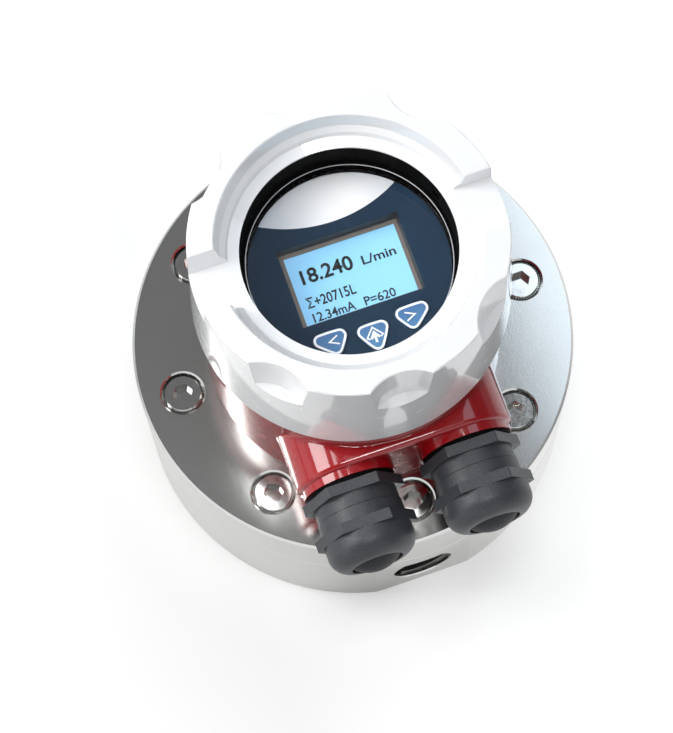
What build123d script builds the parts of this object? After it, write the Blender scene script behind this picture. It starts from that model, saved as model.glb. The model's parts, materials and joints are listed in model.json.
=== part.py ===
from build123d import *
import math
import os

os.makedirs("parts", exist_ok=True)

# Lengths are in millimetres. The origin is on the meter's axis at the foot of the lower disc,
# +Z is up, and the inlet and both cable glands face -Y.

# Clearances
running_gap = 0.03  # shaft in a bush
slip_gap = 0.05  # pins, screws and bushes in their holes
bolt_gap = 0.5  # screw in its clearance hole
free_gap = 0.3  # parts that move past each other
end_gap = 0.1  # gear faces to the chamber's floor and roof
seal_room = 0.2  # beside a ring seal in its groove
drill_room = 2.0  # tapped hole below its screw

# Stainless discs
body_r = 75.0
base_h = 42.0
cover_h = 23.5
edge_break = 0.8
seam_break = 0.25
flat_y = 73.0  # pipe flats, from the axis
flat_top_z = 34.0

# Pipe ports, G 1/2, bored to the outer radius of the thread
port_z = 17.5
port_bore_r = 10.48
port_mouth_r = 10.9
port_depth = 16.0
passage_r = 6.0

# Gears and the chamber around them
gear_module = 2.25
gear_teeth = 18
pressure_angle = 20.0
tooth_backlash = 0.16
flank_steps = 4
chamber_floor_z = 11.0
tip_gap = 0.12
shaft_r = 6.0
shaft_edge = 0.5
bush_wall = 3.0
bush_pocket = 8.0

# Cover screws, M8, and the pins and seal between the discs
screw_count = 8
screw_circle_r = 60.8
screw_r = 4.0
screw_head_r = 6.5
screw_head_h = 8.0
screw_socket_af = 6.0
screw_socket_depth = 4.2
screw_length = 25.0
screw_sink = 0.3  # head top below the cover's face
screw_edge = 0.5
counterbore_r = 7.2
counterbore_mouth_r = 7.75
dowel_r = 3.0
dowel_length = 16.0
cover_seal_r = 50.5
cover_seal_cord_r = 1.25

# Bracket holes in the foot, M8
bracket_circle_r = 50.0
bracket_hole_r = 3.4
bracket_hole_depth = 12.0

# Pickup over the left gear's teeth
pickup_y = 19.0
pickup_r = 6.0
pickup_wall = 2.5  # left between the pickup and the gear chamber
pickup_length = 33.0
pickup_edge = 1.0
pickup_nut_af = 17.0
pickup_nut_h = 4.0
spanner_room = 1.2

# Housing
can_foot_r = 49.9
can_top_r = 48.9
can_shoulder_z = 114.8
cavity_r = 41.5
can_floor = 5.0
can_edge = 0.5
neck_r = 46.0
neck_top_z = 131.0
housing_seal_r = 45.5
housing_seal_cord_r = 1.0
fixing_circle_r = 36.0
fixing_r = 2.5
fixing_head_r = 4.25
fixing_head_h = 5.0
fixing_socket_af = 4.0
fixing_length = 14.0

# Cable entry block and glands
gland_x = 20.0
gland_z = 90.5
block_r = 17.0
block_front_y = 53.4
block_root_y = 30.0  # how near the axis the block starts, inside the can's wall
block_edge_round = 1.6
block_root_round = 2.0
entry_ring_r = 15.6
entry_ring_y = 56.0
entry_bore_r = 12.6
gland_af = 29.4
hex_round = 0.5
washer_r = 15.0
washer_t = 1.4
flange_t = 3.5
collar_r = 13.9
collar_l = 4.4
nut_skirt_r = 14.2
nut_skirt_l = 4.4
nut_hex_l = 3.5
nut_l = 17.2
dome_round = 6.0
neck_thread_r = 12.1
spigot_l = 12.5
gland_bore_r = 9.0
mouth_r = 8.6
mouth_l = 1.5
plug_bulge = 3.3
plug_sink = 0.9  # rim of the plug below the nut's end
plug_overlap = 5.0  # plug inside the gland's neck
dome_room = 7.5  # gland's neck to the nut's end
nut_gap = 0.2

# Electronics
board_t = 1.6
main_board_r = 38.0
main_board_z = 84.0
standoff_af = 5.5
standoff_circle_r = 30.0
standoff_angles = (80.0, 200.0, 320.0)
terminal_size = (36.0, 9.0, 11.0)
terminal_y = -25.0
terminal_ways = 6
terminal_hole_r = 1.8
terminal_hole_depth = 3.0

# Display
display_board_z = 119.0
display_board_r = 34.5
panel_z = 132.0  # face of the printed panel
panel_t = 0.4
bezel_r = 32.3
bezel_wall = 1.8
bezel_room = 1.0  # to the ring that turns round it
lcd_w = 40.3
lcd_h = 26.8
lcd_y = -0.6
lcd_sink = 4.6  # display face below the panel
lcd_frame = 1.2  # module's frame, outside the opening
lcd_border = 1.6  # module's frame, inside the opening
lcd_glass_sink = 0.5
lcd_room = 0.4  # under the bezel's plate
lcd_wall_slope = 6.0
key_rise = 0.5
key_travel = 0.5
key_gap = 0.3
key_bulge = 0.45  # how far a key's side bows out
key_round = 2.3
key_cap_t = 1.4
stem_r = 1.8
switch_size = 6.0
switch_h = 3.4

# Lid and window
lid_bottom_z = 116.5
lid_top_z = 160.0
lid_foot_r = 51.5
lid_head_r = 49.5
lid_ledge_z = 152.0
ledge_r = 37.4
ledge_drop = 0.8  # the ledge falls this much towards the window
step_w = 0.6
step_h = 1.6
step_r = 39.7
crescent_r = 41.2  # inner edge of the raised crescents
slot_narrow_foot = 7.6
slot_wide_foot = 8.4
slot_draft = 2.4
rim_round = 0.6  # edges of the lid's top
lid_roof_z = 139.0
lid_roof_r = 45.0
thread_depth = 16.0
window_r = 33.9
lip_t = 0.8
seat_wall = 2.5  # from the window's edge out to the boss's bore
boss_wall = 3.6
boss_bottom_z = 129.0
glass_r = 32.85
glass_t = 6.6
glass_top_z = 140.2
gasket_lip = 0.8
gasket_lip_t = 1.2
gasket_flare = 0.3  # how much the bore narrows towards the glass
vent_r = 1.6  # small radial hole in the gasket's wall
vent_z = 144.5
vent_angle = 18.0
vent_start = 1.0  # the hole's cutter starts this far inside the window
ring_t = 3.0
lid_seal_cord_r = 1.2
scallop_angles = (45.0, 90.0, 135.0, 225.0, 270.0, 315.0)
scallop_axis_r = 61.4
scallop_top_r = 16.4
scallop_foot_r = 14.4
scallop_drop = 14.7  # from the lid's top to the foot of a scallop's wall
scallop_slope = 31.0

# Worked out from the sizes above
seam_z = base_h
cover_top_z = base_h + cover_h
housing_foot_z = cover_top_z
housing_floor_z = housing_foot_z + can_floor
pitch_r = gear_module * gear_teeth / 2
tip_r = pitch_r + gear_module
root_r = pitch_r - 1.25 * gear_module
gear_x = pitch_r  # the gears stand side by side, either side of the axis
gear_foot_z = chamber_floor_z + end_gap
gear_width = base_h - chamber_floor_z - 2 * end_gap
bush_r = shaft_r + bush_wall
seat_r = window_r + seat_wall
seat_top_z = lid_ledge_z - ledge_drop - lip_t
boss_r = seat_r + boss_wall
scallop_foot_z = lid_top_z - scallop_drop


def save(piece, name):
    piece.part.label = name
    export_step(piece.part, f"parts/{name}.step")


# Lower disc: gear chamber, ports, bush pockets, tapped holes and the seal groove
with BuildPart() as meter_base:
    with BuildSketch():
        Circle(body_r)
    extrude(amount=base_h)
    chamfer(meter_base.edges().sort_by(Axis.Z)[0], edge_break)
    chamfer(meter_base.edges().sort_by(Axis.Z)[-1], seam_break)
    with BuildSketch(Plane.XY):
        with Locations((0, -body_r), (0, body_r)):
            Rectangle(2 * body_r, 2 * (body_r - flat_y))
    extrude(amount=flat_top_z, mode=Mode.SUBTRACT)
    with BuildSketch(Plane.XY.offset(seam_z)):
        with Locations((-gear_x, 0), (gear_x, 0)):
            Circle(tip_r + tip_gap)
    extrude(amount=chamber_floor_z - seam_z, mode=Mode.SUBTRACT)
    with BuildSketch(Plane.XY.offset(chamber_floor_z)):
        with Locations((-gear_x, 0), (gear_x, 0)):
            Circle(bush_r + slip_gap)
    extrude(amount=-bush_pocket, mode=Mode.SUBTRACT)
    for port_plane in (Plane.XZ, Plane.XZ.rotated((0, 0, 180))):
        with BuildSketch(port_plane):
            with Locations((0, port_z)):
                Circle(passage_r)
        extrude(amount=flat_y, mode=Mode.SUBTRACT)
        with BuildSketch(port_plane.offset(flat_y - port_depth)):
            with Locations((0, port_z)):
                Circle(port_bore_r)
        extrude(amount=port_depth, mode=Mode.SUBTRACT)
        mouth_depth = port_mouth_r - port_bore_r
        with BuildSketch(port_plane.offset(flat_y)):
            with Locations((0, port_z)):
                Circle(port_mouth_r)
        extrude(amount=-mouth_depth, taper=45, mode=Mode.SUBTRACT)
    with BuildSketch(Plane.XY.offset(seam_z)):
        with PolarLocations(screw_circle_r, screw_count):
            Circle(screw_r + slip_gap)
    extrude(amount=cover_h - screw_sink - screw_head_h - screw_length - drill_room, mode=Mode.SUBTRACT)
    with BuildSketch(Plane.XY.offset(seam_z)):
        with PolarLocations(screw_circle_r, 2, start_angle=180 / screw_count):
            Circle(dowel_r + slip_gap)
    extrude(amount=-dowel_length / 2 - free_gap, mode=Mode.SUBTRACT)
    with BuildSketch(Plane.XY.offset(seam_z)):
        Circle(cover_seal_r + cover_seal_cord_r + seal_room)
        Circle(cover_seal_r - cover_seal_cord_r - seal_room, mode=Mode.SUBTRACT)
    extrude(amount=-2 * cover_seal_cord_r, mode=Mode.SUBTRACT)
    with BuildSketch(Plane.XY):
        with PolarLocations(bracket_circle_r, 4, start_angle=45):
            Circle(bracket_hole_r)
    extrude(amount=bracket_hole_depth, mode=Mode.SUBTRACT)
save(meter_base, "meter_base")

# Upper disc: counterbored holes, upper bush pockets, the pickup's bore and the housing's taps
pickup_foot_z = seam_z + pickup_wall
with BuildPart() as meter_cover:
    with BuildSketch(Plane.XY.offset(seam_z)):
        Circle(body_r)
    extrude(amount=cover_h)
    chamfer(meter_cover.edges().sort_by(Axis.Z)[0], seam_break)
    chamfer(meter_cover.edges().sort_by(Axis.Z)[-1], edge_break)
    with BuildSketch(Plane.XY.offset(seam_z)):
        with PolarLocations(screw_circle_r, screw_count):
            Circle(screw_r + bolt_gap)
    extrude(amount=cover_h, mode=Mode.SUBTRACT)
    with BuildSketch(Plane.XY.offset(cover_top_z)):
        with PolarLocations(screw_circle_r, screw_count):
            Circle(counterbore_r)
    extrude(amount=-screw_head_h - screw_sink, mode=Mode.SUBTRACT)
    with BuildSketch(Plane.XY.offset(cover_top_z)):
        with PolarLocations(screw_circle_r, screw_count):
            Circle(counterbore_mouth_r)
    extrude(amount=counterbore_r - counterbore_mouth_r, taper=45, mode=Mode.SUBTRACT)
    with BuildSketch(Plane.XY.offset(seam_z)):
        with Locations((-gear_x, 0), (gear_x, 0)):
            Circle(bush_r + slip_gap)
    extrude(amount=bush_pocket, mode=Mode.SUBTRACT)
    with BuildSketch(Plane.XY.offset(seam_z)):
        with PolarLocations(screw_circle_r, 2, start_angle=180 / screw_count):
            Circle(dowel_r + slip_gap)
    extrude(amount=dowel_length / 2 + free_gap, mode=Mode.SUBTRACT)
    with BuildSketch(Plane.XY.offset(cover_top_z)):
        with Locations((-gear_x, pickup_y)):
            Circle(pickup_r + slip_gap)
    extrude(amount=pickup_foot_z - cover_top_z, mode=Mode.SUBTRACT)
    with BuildSketch(Plane.XY.offset(cover_top_z)):
        with PolarLocations(fixing_circle_r, 4):
            Circle(fixing_r + slip_gap)
    extrude(amount=can_floor - fixing_length - drill_room, mode=Mode.SUBTRACT)
save(meter_cover, "meter_cover")

# Socket head screws through the cover
head_foot_z = cover_top_z - screw_sink - screw_head_h
with BuildPart() as cover_screws:
    with BuildSketch(Plane.XY.offset(head_foot_z)):
        with PolarLocations(screw_circle_r, screw_count):
            Circle(screw_head_r)
    extrude(amount=screw_head_h)
    chamfer(cover_screws.edges().group_by(Axis.Z)[-1], screw_edge)
    with BuildSketch(Plane.XY.offset(head_foot_z)):
        with PolarLocations(screw_circle_r, screw_count):
            Circle(screw_r)
    extrude(amount=-screw_length)
    with BuildSketch(Plane.XY.offset(head_foot_z + screw_head_h)):
        with PolarLocations(screw_circle_r, screw_count):
            RegularPolygon(screw_socket_af / 2, 6, major_radius=False)
    extrude(amount=-screw_socket_depth, mode=Mode.SUBTRACT)
save(cover_screws, "cover_screws")


def ring_seal(mean_r, cord_r, middle_z):
    """A rubber ring of round cord."""
    with BuildPart() as ring:
        with BuildSketch(Plane.XZ):
            with Locations((mean_r, middle_z)):
                Circle(cord_r)
        revolve(axis=Axis.Z)
    return ring


save(ring_seal(cover_seal_r, cover_seal_cord_r, seam_z - cover_seal_cord_r), "cover_seal")

with BuildPart() as dowel_pins:
    with BuildSketch(Plane.XY.offset(seam_z - dowel_length / 2)):
        with PolarLocations(screw_circle_r, 2, start_angle=180 / screw_count):
            Circle(dowel_r)
    extrude(amount=dowel_length)
save(dowel_pins, "dowel_pins")


def involute(angle):
    return math.tan(angle) - angle


def flank(radius, side):
    """Point of a tooth's flank at a radius, for a tooth centred on +X."""
    base_r = pitch_r * math.cos(math.radians(pressure_angle))
    half_tooth = math.pi / (2 * gear_teeth) - tooth_backlash / (2 * pitch_r)
    contact = math.acos(min(1.0, base_r / radius))
    turn = half_tooth + involute(math.radians(pressure_angle)) - involute(contact)
    return (radius * math.cos(turn), side * radius * math.sin(turn))


def spur_gear(centre_x, turn):
    """Involute gear on its own axis at centre_x, turned by the given angle."""
    base_r = pitch_r * math.cos(math.radians(pressure_angle))
    flank_start = max(base_r, root_r)
    steps = [flank_start + (tip_r - flank_start) * i / flank_steps for i in range(flank_steps + 1)]
    upper = [flank(radius, 1) for radius in steps]
    lower = [flank(radius, -1) for radius in steps]
    root_in = (root_r - tooth_backlash) / flank_start
    with BuildSketch() as tooth:
        with BuildLine():
            Spline(*upper)
            ThreePointArc(upper[-1], (tip_r, 0), lower[-1])
            Spline(*lower)
            Polyline(
                lower[0],
                (lower[0][0] * root_in, lower[0][1] * root_in),
                (upper[0][0] * root_in, upper[0][1] * root_in),
                upper[0],
            )
        make_face()
    with BuildPart() as gear:
        with BuildSketch(Plane.XY.offset(gear_foot_z)):
            with Locations((centre_x, 0)):
                Circle(root_r)
                with PolarLocations(0, gear_teeth, start_angle=turn):
                    add(tooth.sketch)
                Circle(shaft_r, mode=Mode.SUBTRACT)
        extrude(amount=gear_width)
    return gear


save(spur_gear(-gear_x, 0), "gear_left")
save(spur_gear(gear_x, 180 / gear_teeth + 180), "gear_right")

# Shafts and the bushes that carry them
bush_l = bush_pocket - end_gap
shaft_foot_z = chamber_floor_z - bush_pocket + free_gap
shaft_l = base_h + bush_pocket - free_gap - shaft_foot_z
for side_name, side_x in (("left", -gear_x), ("right", gear_x)):
    with BuildPart() as shaft:
        with BuildSketch(Plane.XY.offset(shaft_foot_z)):
            with Locations((side_x, 0)):
                Circle(shaft_r)
        extrude(amount=shaft_l)
        chamfer(shaft.edges().filter_by(GeomType.CIRCLE), shaft_edge)
    save(shaft, f"shaft_{side_name}")
    for level_name, bush_foot_z in (
        ("lower", chamber_floor_z - bush_pocket),
        ("upper", seam_z + bush_pocket - bush_l),
    ):
        with BuildPart() as bush:
            with BuildSketch(Plane.XY.offset(bush_foot_z)):
                with Locations((side_x, 0)):
                    Circle(bush_r)
                    Circle(shaft_r + running_gap, mode=Mode.SUBTRACT)
            extrude(amount=bush_l)
        save(bush, f"bush_{level_name}_{side_name}")

# Pickup and its lock nut
with BuildPart() as pickup_sensor:
    with BuildSketch(Plane.XY.offset(pickup_foot_z)):
        with Locations((-gear_x, pickup_y)):
            Circle(pickup_r)
    extrude(amount=pickup_length)
    chamfer(pickup_sensor.edges().sort_by(Axis.Z)[-1], pickup_edge)
save(pickup_sensor, "pickup_sensor")

with BuildPart() as pickup_nut:
    with BuildSketch(Plane.XY.offset(cover_top_z)):
        with Locations((-gear_x, pickup_y)):
            RegularPolygon(pickup_nut_af / 2, 6, major_radius=False)
            Circle(pickup_r + slip_gap, mode=Mode.SUBTRACT)
    extrude(amount=pickup_nut_h)
save(pickup_nut, "pickup_nut")

# Housing: turned can with a threaded neck, and the cable entry block at its front
nut_clearance_r = pickup_nut_af / math.sqrt(3) + spanner_room
with BuildPart() as housing:
    with BuildSketch(Plane.XZ) as can_section:
        with BuildLine():
            Polyline(
                (0, housing_foot_z),
                (can_foot_r - can_edge, housing_foot_z),
                (can_foot_r, housing_foot_z + can_edge),
                (can_top_r, can_shoulder_z),
                (neck_r, can_shoulder_z),
                (neck_r, neck_top_z),
                (0, neck_top_z),
                close=True,
            )
        make_face()
    revolve(axis=Axis.Z)
    with BuildSketch(Plane.XZ.offset(block_front_y)):
        with Locations((0, gland_z)):
            SlotCenterToCenter(2 * gland_x, 2 * block_r)
    extrude(amount=block_root_y - block_front_y)
    fillet(housing.edges(Select.NEW), block_root_round)
    fillet(housing.edges().group_by(Axis.Y)[0], block_edge_round)
    with BuildSketch(Plane.XZ.offset(block_root_y)):
        with Locations((-gland_x, gland_z), (gland_x, gland_z)):
            Circle(entry_ring_r)
    extrude(amount=entry_ring_y - block_root_y)
    with BuildSketch(Plane.XY.offset(housing_floor_z)):
        Circle(cavity_r)
    extrude(amount=neck_top_z - housing_floor_z, mode=Mode.SUBTRACT)
    with BuildSketch(Plane.XZ.offset(entry_ring_y)):
        with Locations((-gland_x, gland_z), (gland_x, gland_z)):
            Circle(entry_bore_r)
    extrude(amount=block_root_y - entry_ring_y, mode=Mode.SUBTRACT)
    with BuildSketch(Plane.XY.offset(housing_foot_z)):
        with Locations((-gear_x, pickup_y)):
            Circle(nut_clearance_r)
        with PolarLocations(fixing_circle_r, 4):
            Circle(fixing_r + free_gap)
    extrude(amount=can_floor, mode=Mode.SUBTRACT)
    with BuildSketch(Plane.XY.offset(housing_foot_z)):
        Circle(housing_seal_r + housing_seal_cord_r + seal_room)
        Circle(housing_seal_r - housing_seal_cord_r - seal_room, mode=Mode.SUBTRACT)
    extrude(amount=2 * housing_seal_cord_r, mode=Mode.SUBTRACT)
save(housing, "housing")

save(
    ring_seal(housing_seal_r, housing_seal_cord_r, cover_top_z + housing_seal_cord_r),
    "housing_seal",
)

with BuildPart() as housing_screws:
    with BuildSketch(Plane.XY.offset(housing_floor_z)):
        with PolarLocations(fixing_circle_r, 4):
            Circle(fixing_head_r)
    extrude(amount=fixing_head_h)
    with BuildSketch(Plane.XY.offset(housing_floor_z)):
        with PolarLocations(fixing_circle_r, 4):
            Circle(fixing_r)
    extrude(amount=-fixing_length)
    with BuildSketch(Plane.XY.offset(housing_floor_z + fixing_head_h)):
        with PolarLocations(fixing_circle_r, 4):
            RegularPolygon(fixing_socket_af / 2, 6, major_radius=False)
    extrude(amount=-fixing_head_h / 2, mode=Mode.SUBTRACT)
save(housing_screws, "housing_screws")


# Cable glands: body, washer, dome nut and blanking plug, one set on each side
washer_y = entry_ring_y
flange_y = washer_y + washer_t
collar_y = flange_y + flange_t
nut_y = collar_y + collar_l + nut_gap
nut_hex_y = nut_y + nut_skirt_l
dome_y = nut_hex_y + nut_hex_l
nut_end_y = nut_y + nut_l
neck_end_y = nut_end_y - dome_room
plug_r = mouth_r - free_gap
plug_seat_y = nut_end_y - plug_sink
plug_foot_y = neck_end_y - plug_overlap


def gland_body(side_x):
    """Turned body with a hexagon flange, bored through for the cable."""
    with BuildPart() as body:
        with BuildSketch(Plane.XY.offset(gland_z)):
            with BuildLine():
                Polyline(
                    (side_x + gland_bore_r, spigot_l - flange_y),
                    (side_x + entry_bore_r - nut_gap, spigot_l - flange_y),
                    (side_x + entry_bore_r - nut_gap, -flange_y),
                    (side_x + collar_r, -flange_y),
                    (side_x + collar_r, -collar_y - collar_l),
                    (side_x + neck_thread_r, -collar_y - collar_l),
                    (side_x + neck_thread_r, -neck_end_y),
                    (side_x + gland_bore_r, -neck_end_y),
                    close=True,
                )
            make_face()
        revolve(axis=Axis((side_x, 0, gland_z), (0, 1, 0)))
        with BuildSketch(Plane.XZ.offset(flange_y)):
            with Locations((side_x, gland_z)):
                hexagon = RegularPolygon(gland_af / 2, 6, major_radius=False)
                fillet(hexagon.vertices(), hex_round)
                Circle(gland_bore_r, mode=Mode.SUBTRACT)
        extrude(amount=flange_t)
    return body


def gland_nut(side_x):
    """Dome nut: round skirt, hex band, and a dome whose wall is as wide as the hex's flats."""
    dome_r = gland_af / 2
    inner_r = neck_thread_r + free_gap
    inner_end_y = neck_end_y + free_gap
    with BuildPart() as nut:
        with BuildSketch(Plane.XY.offset(gland_z)):
            with BuildLine():
                Polyline(
                    (side_x + mouth_r, -nut_end_y),
                    (side_x + mouth_r, -nut_end_y + mouth_l),
                    (side_x + inner_r, -inner_end_y),
                    (side_x + inner_r, -nut_y),
                    (side_x + nut_skirt_r, -nut_y),
                    (side_x + nut_skirt_r, -nut_hex_y),
                    (side_x + dome_r, -nut_hex_y),
                    (side_x + dome_r, -nut_end_y + dome_round),
                )
                RadiusArc(
                    (side_x + dome_r, -nut_end_y + dome_round),
                    (side_x + dome_r - dome_round, -nut_end_y),
                    dome_round,
                )
                Line((side_x + dome_r - dome_round, -nut_end_y), (side_x + mouth_r, -nut_end_y))
            make_face()
        revolve(axis=Axis((side_x, 0, gland_z), (0, 1, 0)))
        with BuildSketch(Plane.XZ.offset(nut_hex_y)):
            with Locations((side_x, gland_z)):
                hexagon = RegularPolygon(gland_af / 2, 6, major_radius=False)
                fillet(hexagon.vertices(), hex_round)
                Circle(inner_r, mode=Mode.SUBTRACT)
        extrude(amount=nut_hex_l)
    return nut


def gland_plug(side_x):
    """Rubber plug whose front bulges out of the nut's mouth."""
    bulge_r = (plug_r**2 + plug_bulge**2) / (2 * plug_bulge)
    with BuildPart() as plug:
        with BuildSketch(Plane.XY.offset(gland_z)):
            with BuildLine():
                Polyline(
                    (side_x, -plug_seat_y - plug_bulge),
                    (side_x, -plug_foot_y),
                    (side_x + plug_r, -plug_foot_y),
                    (side_x + plug_r, -plug_seat_y),
                )
                RadiusArc(
                    (side_x + plug_r, -plug_seat_y),
                    (side_x, -plug_seat_y - plug_bulge),
                    bulge_r,
                )
            make_face()
        revolve(axis=Axis((side_x, 0, gland_z), (0, 1, 0)))
    return plug


for side_name, side_x in (("left", -gland_x), ("right", gland_x)):
    save(gland_body(side_x), f"gland_body_{side_name}")
    save(gland_nut(side_x), f"gland_nut_{side_name}")
    save(gland_plug(side_x), f"gland_plug_{side_name}")
    with BuildPart() as gland_washer:
        with BuildSketch(Plane.XZ.offset(washer_y)):
            with Locations((side_x, gland_z)):
                Circle(washer_r)
                Circle(entry_bore_r, mode=Mode.SUBTRACT)
        extrude(amount=washer_t)
    save(gland_washer, f"gland_washer_{side_name}")


# Boards on their standoffs
def standoffs(foot_z, head_z):
    with BuildPart() as posts:
        with BuildSketch(Plane.XY.offset(foot_z)):
            for angle in standoff_angles:
                with PolarLocations(standoff_circle_r, 1, start_angle=angle):
                    RegularPolygon(standoff_af / 2, 6, major_radius=False)
        extrude(amount=head_z - foot_z)
    return posts


def board(radius, foot_z):
    with BuildPart() as plate:
        with BuildSketch(Plane.XY.offset(foot_z)):
            Circle(radius)
        extrude(amount=board_t)
    return plate


save(standoffs(housing_floor_z, main_board_z), "board_standoffs")
save(board(main_board_r, main_board_z), "main_board")
save(standoffs(main_board_z + board_t, display_board_z), "display_standoffs")
save(board(display_board_r, display_board_z), "display_board")

with BuildPart() as terminal_block:
    with BuildSketch(Plane.XY.offset(main_board_z + board_t)):
        with Locations((0, terminal_y)):
            Rectangle(terminal_size[0], terminal_size[1])
    extrude(amount=terminal_size[2])
    with BuildSketch(Plane.XY.offset(main_board_z + board_t + terminal_size[2])):
        with Locations((0, terminal_y)):
            with GridLocations(terminal_size[0] / terminal_ways, 1, terminal_ways, 1):
                Circle(terminal_hole_r)
    extrude(amount=-terminal_hole_depth, mode=Mode.SUBTRACT)
save(terminal_block, "terminal_block")

# Display module, its frame open over the glass
board_top_z = display_board_z + board_t
lcd_face_z = panel_z - lcd_sink
with BuildPart() as lcd_module:
    with BuildSketch(Plane.XY.offset(board_top_z)):
        with Locations((0, lcd_y)):
            Rectangle(lcd_w + 2 * lcd_frame, lcd_h + 2 * lcd_frame)
    extrude(amount=lcd_face_z - board_top_z)
    with BuildSketch(Plane.XY.offset(lcd_face_z)):
        with Locations((0, lcd_y)):
            Rectangle(lcd_w - 2 * lcd_border, lcd_h - 2 * lcd_border)
    extrude(amount=-lcd_glass_sink, mode=Mode.SUBTRACT)
save(lcd_module, "lcd_module")


# Corners of each key's triangle before rounding, seen from above
key_corners = {
    "left": ((-21.4, -18.1), (-6.9, -18.1), (-12.3, -26.7)),
    "up": ((-6.2, -19.8), (6.2, -19.8), (0, -30.2)),
    "right": ((21.4, -18.1), (6.9, -18.1), (12.3, -26.7)),
}


def key_centre(key_name):
    corners = key_corners[key_name]
    return (sum(x for x, y in corners) / 3, sum(y for x, y in corners) / 3)


def key_sketch(key_name, growth):
    """Triangle with bowed sides and round corners."""
    corners = key_corners[key_name]
    middle = key_centre(key_name)
    with BuildSketch() as face:
        with BuildLine():
            for start, end in zip(corners, corners[1:] + corners[:1]):
                half_x = (start[0] + end[0]) / 2
                half_y = (start[1] + end[1]) / 2
                reach = math.hypot(half_x - middle[0], half_y - middle[1])
                bow = key_bulge / reach
                ThreePointArc(
                    start,
                    (half_x + (half_x - middle[0]) * bow, half_y + (half_y - middle[1]) * bow),
                    end,
                )
        make_face()
        fillet(face.vertices(), key_round)
        if growth:
            offset(amount=growth, kind=Kind.ARC)
    return face


# Bezel: a drum round the display, closed at the top but for the window and the keys
with BuildPart() as display_bezel:
    with BuildSketch(Plane.XY.offset(board_top_z)):
        Circle(bezel_r)
    extrude(amount=panel_z - panel_t - board_top_z)
    with BuildSketch(Plane.XY.offset(board_top_z)):
        Circle(bezel_r - bezel_wall)
    extrude(amount=lcd_face_z + lcd_room - board_top_z, mode=Mode.SUBTRACT)
    with BuildSketch(Plane.XY.offset(panel_z - panel_t)):
        with Locations((0, lcd_y)):
            Rectangle(lcd_w, lcd_h)
    extrude(amount=-lcd_sink, taper=lcd_wall_slope, mode=Mode.SUBTRACT)
    for key_name in key_corners:
        with BuildSketch(Plane.XY.offset(panel_z)):
            add(key_sketch(key_name, key_gap).sketch)
        extrude(amount=-lcd_sink, mode=Mode.SUBTRACT)
save(display_bezel, "display_bezel")

with BuildPart() as panel_overlay:
    with BuildSketch(Plane.XY.offset(panel_z - panel_t)):
        Circle(bezel_r)
        with Locations((0, lcd_y)):
            Rectangle(lcd_w, lcd_h, mode=Mode.SUBTRACT)
        for key_name in key_corners:
            add(key_sketch(key_name, key_gap).sketch, mode=Mode.SUBTRACT)
    extrude(amount=panel_t)
save(panel_overlay, "panel_overlay")

# Keys with their stems, and the switches that push them back
with BuildPart() as key_switches:
    with BuildSketch(Plane.XY.offset(board_top_z)):
        for key_name in key_corners:
            with Locations(key_centre(key_name)):
                Rectangle(switch_size, switch_size)
    extrude(amount=switch_h)
save(key_switches, "key_switches")

stem_foot_z = board_top_z + switch_h + key_travel + end_gap
for key_name in key_corners:
    with BuildPart() as key:
        with BuildSketch(Plane.XY.offset(panel_z + key_rise)):
            add(key_sketch(key_name, 0).sketch)
        extrude(amount=-key_cap_t)
        with BuildSketch(Plane.XY.offset(stem_foot_z)):
            with Locations(key_centre(key_name)):
                Circle(stem_r)
        extrude(amount=panel_z + key_rise - key_cap_t - stem_foot_z)
    save(key, f"key_{key_name}")

# Lid: drafted wall, raised crescents with a slot between them, and scallops for the hand
lid_seal_r = neck_r + lid_seal_cord_r + free_gap
lid_seal_z = can_shoulder_z + lid_seal_cord_r + end_gap
lid_groove_r = lid_seal_r + lid_seal_cord_r + free_gap
lid_groove_z = lid_seal_z + lid_seal_cord_r + free_gap
scallop_floor_z = scallop_foot_z - scallop_foot_r * math.tan(math.radians(scallop_slope))
with BuildPart() as scallop_cutter:
    with BuildSketch(Plane.XZ):
        with BuildLine():
            Polyline(
                (scallop_axis_r, scallop_floor_z),
                (scallop_axis_r - scallop_foot_r, scallop_foot_z),
                (scallop_axis_r - scallop_top_r, lid_top_z),
                (scallop_axis_r, lid_top_z),
                close=True,
            )
        make_face()
    revolve(axis=Axis((scallop_axis_r, 0, 0), (0, 0, 1)))

with BuildPart() as lid:
    with BuildSketch(Plane.XZ):
        with BuildLine():
            Polyline(
                (window_r, lid_ledge_z - ledge_drop),
                (ledge_r, lid_ledge_z),
                (ledge_r + step_w, lid_ledge_z + step_h),
                (step_r, lid_ledge_z + 2 * step_h),
                (crescent_r, lid_top_z),
                (lid_head_r, lid_top_z),
                (lid_foot_r, lid_bottom_z),
                (lid_groove_r, lid_bottom_z),
                (lid_groove_r, lid_groove_z),
                (neck_r + free_gap, lid_groove_z),
                (neck_r + free_gap, lid_bottom_z + thread_depth),
                (lid_roof_r, lid_bottom_z + thread_depth + neck_r + free_gap - lid_roof_r),
                (lid_roof_r, lid_roof_z),
                (boss_r, lid_roof_z),
                (boss_r, boss_bottom_z),
                (seat_r, boss_bottom_z),
                (seat_r, seat_top_z),
                (window_r, seat_top_z),
                close=True,
            )
        make_face()
    revolve(axis=Axis.Z)
    for angle in scallop_angles:
        add(scallop_cutter.part.rotate(Axis.Z, angle), mode=Mode.SUBTRACT)
    for slot_plane in (Plane.YZ, Plane.YZ.rotated((0, 0, 180))):
        with BuildSketch(slot_plane):
            with BuildLine():
                Polyline(
                    (-slot_wide_foot - slot_draft, lid_top_z),
                    (-slot_wide_foot, lid_ledge_z),
                    (slot_narrow_foot, lid_ledge_z),
                    (slot_narrow_foot, lid_top_z),
                    close=True,
                )
            make_face()
        extrude(amount=lid_foot_r, mode=Mode.SUBTRACT)
    fillet(lid.edges().group_by(Axis.Z)[-1], rim_round)
save(lid, "lid")

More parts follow.
